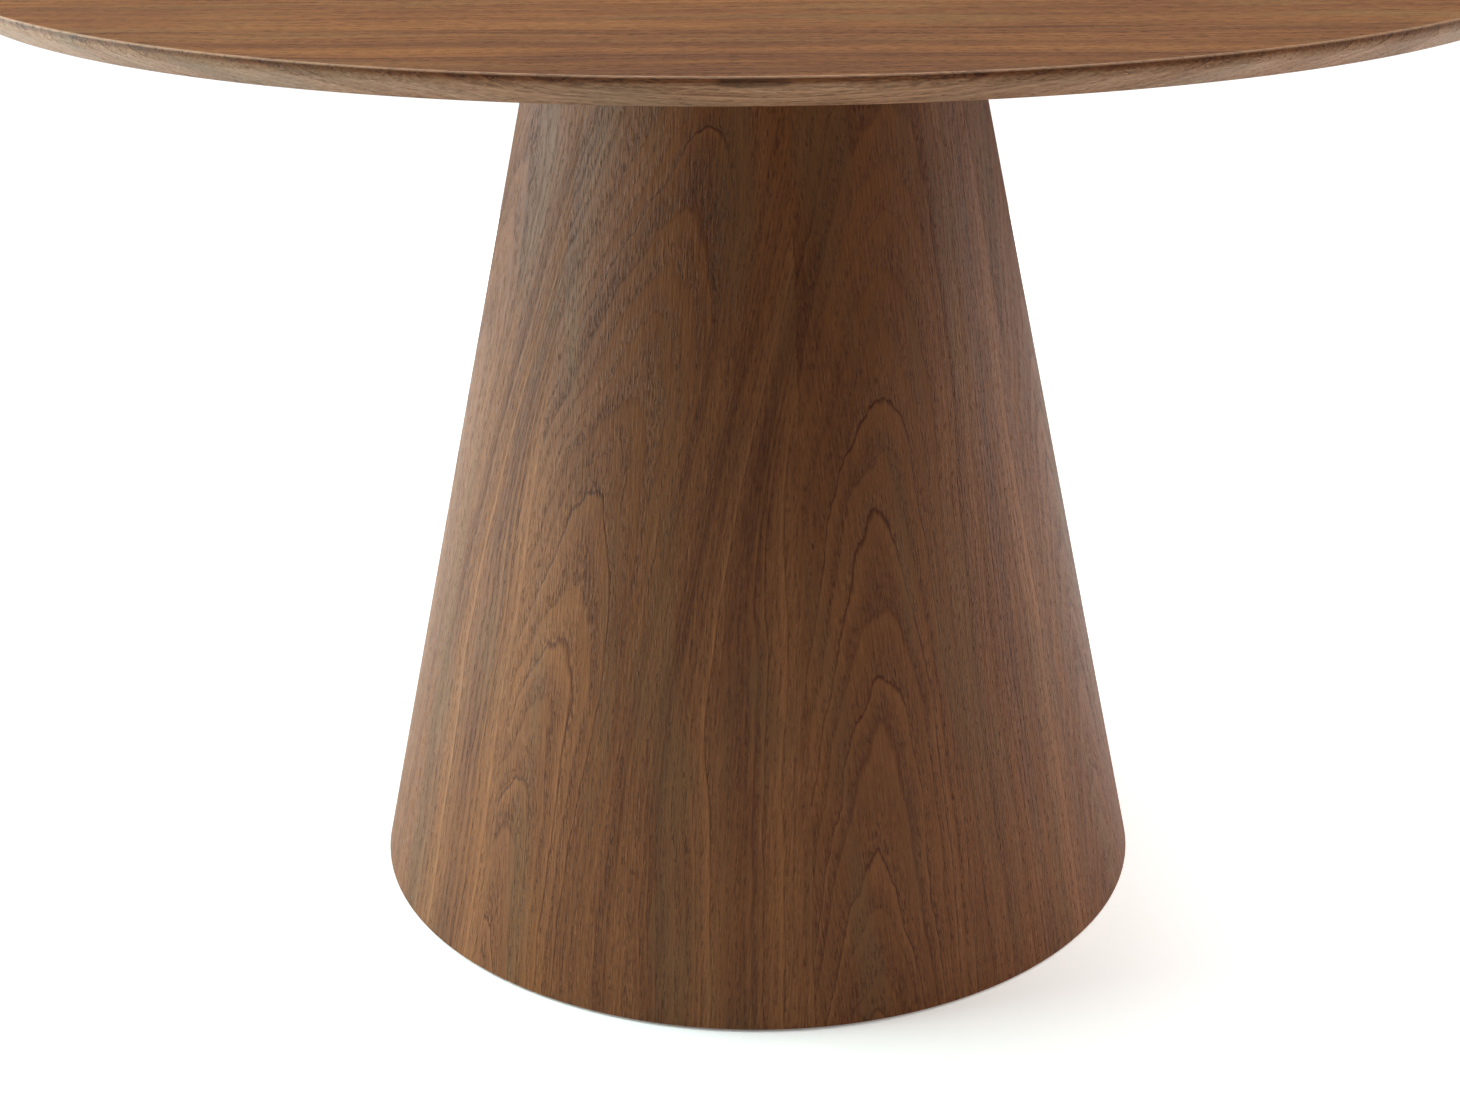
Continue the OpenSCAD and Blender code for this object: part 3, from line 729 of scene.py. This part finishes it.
BACKDROP_LIGHT = 0.10       # what the backdrop gives the table
BACKDROP_SEEN = 1.1         # how the camera sees it: just past white

FLOOR_R = 2.25
FLOOR_COLOUR = (0.90, 0.90, 0.895, 1.0)
EDGE_GLOW, EDGE_FROM, EDGE_TO = 0.95, 1.2, 2.1
SIDE_GLOW, SIDE_FROM, SIDE_TO = 0.45, 0.35, 1.0
SIDE_X, SIDE_Y = 0.80, 0.20
SEEN_GLOW = 0.15

CAMERA_PLACE = (0.0, -1.7108, 0.9703)
CAMERA_TURN = (-0.722, 22.575, -0.556)      # heading, dip and roll in degrees
CAMERA_LENS = 54.714


def make_floor():
    """A round studio floor. It glows towards its edge, where the white backdrop takes over, and on
    the right, where the key light's shadow falls, and lights the foot of the cone from there. The
    camera sees a little more glow all over, so that shadows stay faint."""
    bm = bmesh.new()
    bmesh.ops.create_circle(bm, cap_ends=True, segments=96, radius=FLOOR_R)
    mesh = bpy.data.meshes.new("floor")
    bm.to_mesh(mesh)
    bm.free()
    g = Graph("pale_floor", 0.55, Emission_Color=(*WHITE, 1.0))
    g.set("Base Color", FLOOR_COLOUR)
    x, y = g.place()[:2]
    edge = g.step(g.distance(x, y), EDGE_FROM, EDGE_TO)
    side = g.step(g.distance(x - SIDE_X, y - SIDE_Y), SIDE_FROM, SIDE_TO, 1.0, 0.0)
    seen = Wire(g, g.add("ShaderNodeLightPath").outputs["Is Camera Ray"])
    g.set("Emission Strength", edge * EDGE_GLOW + side * SIDE_GLOW + seen * SEEN_GLOW)
    mesh.materials.append(g.material)
    floor = bpy.data.objects.new("floor", mesh)
    bpy.context.scene.collection.objects.link(floor)


def softbox(name, place, aim, size, power, tint):
    data = bpy.data.lights.new(name, "AREA")
    data.shape = "RECTANGLE"
    data.size, data.size_y = size
    data.energy = power
    data.color = tint
    lamp = bpy.data.objects.new(name, data)
    lamp.location = place
    lamp.rotation_mode = "QUATERNION"
    lamp.rotation_quaternion = (Vector(aim) - Vector(place)).to_track_quat("-Z", "Y")
    lamp.visible_camera = False
    bpy.context.scene.collection.objects.link(lamp)


def make_lights():
    """Overhead light for the top and floor, a key from the left, weaker light from the right and
    a little from behind on both sides. The front is left dark, so that the face of the cone keeps
    its colour."""
    for light in SOFTBOXES:
        softbox(*light)
    world = bpy.data.worlds.new("studio")
    bpy.context.scene.world = world
    world.use_nodes = True
    tree = world.node_tree
    background = tree.nodes["Background"]
    path = tree.nodes.new("ShaderNodeLightPath")
    level = tree.nodes.new("ShaderNodeMapRange")
    level.inputs["To Min"].default_value = BACKDROP_LIGHT
    level.inputs["To Max"].default_value = BACKDROP_SEEN
    tree.links.new(path.outputs["Is Camera Ray"], level.inputs["Value"])
    tree.links.new(level.outputs["Result"], background.inputs["Strength"])
    background.inputs["Color"].default_value = (*WHITE, 1.0)


def make_camera():
    """The camera looks along +Y, down and slightly to the left, and is rolled a little."""
    heading, dip, roll = (math.radians(a) for a in CAMERA_TURN)
    level = math.cos(dip)
    forward = Vector((math.sin(heading) * level, math.cos(heading) * level, -math.sin(dip)))
    right = Vector((math.cos(heading), -math.sin(heading), 0.0))
    up = right.cross(forward)
    side = right * math.cos(roll) + up * math.sin(roll)
    head = up * math.cos(roll) - right * math.sin(roll)
    data = bpy.data.cameras.new("camera")
    data.sensor_width = 36.0
    data.lens = CAMERA_LENS
    data.clip_end = 100.0
    camera = bpy.data.objects.new("camera", data)
    turned = Matrix((side, head, -forward)).transposed().to_4x4()
    camera.matrix_world = Matrix.Translation(CAMERA_PLACE) @ turned
    bpy.context.scene.collection.objects.link(camera)
    bpy.context.scene.camera = camera


# ---------------------------------------------------------------- build

make_camera()
make_floor()
make_lights()
bpy.context.scene.view_settings.view_transform = "Standard"

walnut_boards = boards_material()
walnut_cone = cone_material()
walnut_y = timber_material("walnut_along_y", "Y", 11.0, tone=0.02)
walnut_x = timber_material("walnut_along_x", "X", 23.0)
birch_ply = ply_material()
fibreboard = fibreboard_material()
black_paint = paint_material()
zinc = metal_material("zinc_plate", (0.56, 0.57, 0.58), 0.30, (0.38, 0.39, 0.40))
steel = metal_material("bright_steel", (0.60, 0.60, 0.61), 0.20, (0.45, 0.45, 0.46), (1.0, 0.03, 1.0))
brass = metal_material("aged_brass", (0.72, 0.50, 0.20), 0.26, (0.40, 0.25, 0.09))
rubber = rubber_material()
felt = felt_material()

make_boards(walnut_boards)
make_cone(walnut_cone)
make_cap(walnut_x)
make_knob(brass)

for node in ("bearer_left", "bearer_right", "side_batten_left", "side_batten_right"):
    piece("soft_" + node, softened(node, 2.0 * MM), "walnut_timber", walnut_y, "table_top", node)
rail = softened("cross_rail", 1.5 * MM)
piece("soft_cross_rail", rail, "walnut_timber", walnut_x, "table_top", "cross_rail")
block = softened("tilt_block", 1.5 * MM)
piece("soft_tilt_block", block, "walnut_timber", walnut_y, "pedestal", "tilt_block")
buffer = softened("stop_buffer", 1.5 * MM, segments=3)
piece("soft_buffer", buffer, "rubber", rubber, "table_top", "stop_buffer")
housing = softened("bolt_housing", 0.5 * MM)
piece("soft_housing", housing, "brass", brass, "table_top", "bolt_housing")
strike = softened("strike_plate", 0.35 * MM)
piece("soft_strike", strike, "brass", brass, "pedestal", "strike_plate")

DRESSED = {
    birch_ply: PANELS + ["seam_strips", "loose_tongues"],
    fibreboard: ["base_disc", "lower_former", "upper_former", "top_former"],
    black_paint: ["ballast_plate"],
    zinc: ["ballast_bolts", "tie_rod", "tie_nuts", "tie_washers", "glide_screws", "block_screws",
           "bearer_screws", "batten_screws", "buffer_screw"],
    steel: ["pivot_bolt_left", "pivot_bolt_right", "bolt_rod"],
    brass: ["strike_screws", "pivot_bush_left", "pivot_bush_right", "housing_screws"],
    rubber: ["rest_pads"],
    felt: ["glides"],
}
for material, nodes in DRESSED.items():
    for node in nodes:
        dress(node, material)

bpy.context.view_layer.update()
